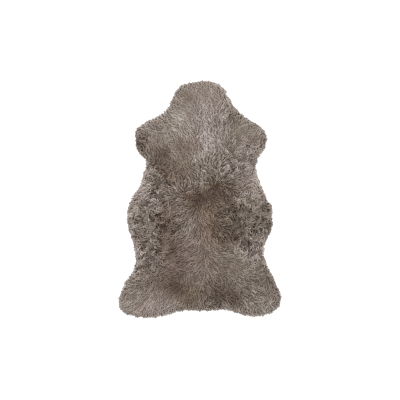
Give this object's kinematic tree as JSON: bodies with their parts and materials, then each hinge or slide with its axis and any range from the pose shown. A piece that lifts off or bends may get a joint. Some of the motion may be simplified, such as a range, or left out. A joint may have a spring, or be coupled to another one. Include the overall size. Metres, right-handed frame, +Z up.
{
  "type": "sheepskin rug",
  "caption": "One-piece sheepskin rug in the natural shape of the skin, with short curly wool on top and a flat suede underside.",
  "frame": {"origin": "on the floor, under the middle of the rug's length and width", "axes": "+Y towards the neck end, +X to the right seen from above with the neck at the top, +Z up through the wool"},
  "size_m": [0.65, 0.95, 0.036],
  "materials": {
    "fleece": "curly taupe-grey wool with paler tips",
    "hide": "pale suede, matt"
  },
  "bodies": {
    "root": {"sheepskin": "fleece"}
  },
  "joints": []
}
